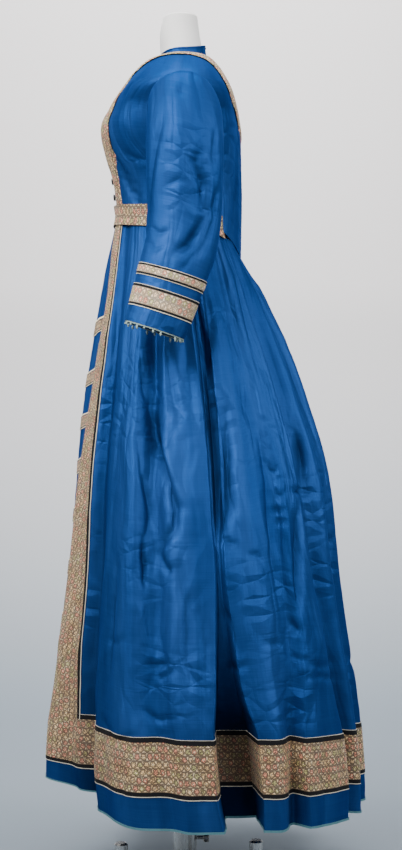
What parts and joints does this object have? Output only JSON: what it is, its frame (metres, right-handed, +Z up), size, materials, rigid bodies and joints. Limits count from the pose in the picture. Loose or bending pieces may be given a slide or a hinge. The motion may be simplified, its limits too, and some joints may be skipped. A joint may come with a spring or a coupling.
{
  "type": "dress on a dress form",
  "caption": "Long blue silk day dress with patterned borders, long sleeves and a belt, on a limbless dress form with a pole and a cross base.",
  "frame": {"origin": "on the floor under the pole's axis, on the underside of the base", "axes": "+Z up; the dress faces -Y; +X is the wearer's left"},
  "size_m": [0.823, 0.5664, 1.594],
  "materials": {
    "taffeta_blue": "crisp silk taffeta, soft sheen",
    "border_print": "patterned wool or silk border, matt",
    "ribbon_black": "velvet ribbon",
    "edging_pale": "pale woven edging",
    "button_dark": "dark, slightly glossy",
    "form_cover": "off-white jersey cover",
    "steel_satin": "satin chrome",
    "base_grey": "satin grey paint"
  },
  "bodies": {
    "root": {"belt": "border_print", "bodice_back": "taffeta_blue", "bodice_front_left": "taffeta_blue", "bodice_front_right": "taffeta_blue", "button_1": "button_dark", "button_2": "button_dark", "button_3": "button_dark", "button_4": "button_dark", "button_5": "button_dark", "button_6": "button_dark", "button_7": "button_dark", "collar": "taffeta_blue", "cuff_band_lower_left": "border_print", "cuff_band_lower_right": "border_print", "cuff_band_upper_left": "border_print", "cuff_band_upper_right": "border_print", "cuff_edging_left": "edging_pale", "cuff_edging_right": "edging_pale", "form_torso": "form_cover", "front_border_left": "border_print", "front_border_right": "border_print", "front_ribbon_left": "ribbon_black", "front_ribbon_right": "ribbon_black", "hem_border_front": "border_print", "hem_border_left": "border_print", "hem_border_right": "border_print", "hem_ribbon_front": "ribbon_black", "hem_ribbon_lower_left": "ribbon_black", "hem_ribbon_lower_right": "ribbon_black", "hem_ribbon_upper_left": "ribbon_black", "hem_ribbon_upper_right": "ribbon_black", "ladder_band_1": "border_print", "ladder_band_2": "border_print", "ladder_band_3": "border_print", "ladder_band_4": "border_print", "ladder_band_5": "border_print", "ladder_band_6": "border_print", "ladder_band_7": "border_print", "skirt_back_left": "taffeta_blue", "skirt_back_right": "taffeta_blue", "skirt_front": "taffeta_blue", "skirt_side_left": "taffeta_blue", "skirt_side_right": "taffeta_blue", "sleeve_under_left": "taffeta_blue", "sleeve_under_right": "taffeta_blue", "sleeve_upper_left": "taffeta_blue", "sleeve_upper_right": "taffeta_blue", "stand_base": "base_grey", "stand_pole": "steel_satin", "stand_post_front": "steel_satin", "stand_post_back": "steel_satin", "stand_socket": "steel_satin", "stand_thumbscrew": "steel_satin", "strap_left": "border_print", "strap_right": "border_print"}
  },
  "joints": []
}
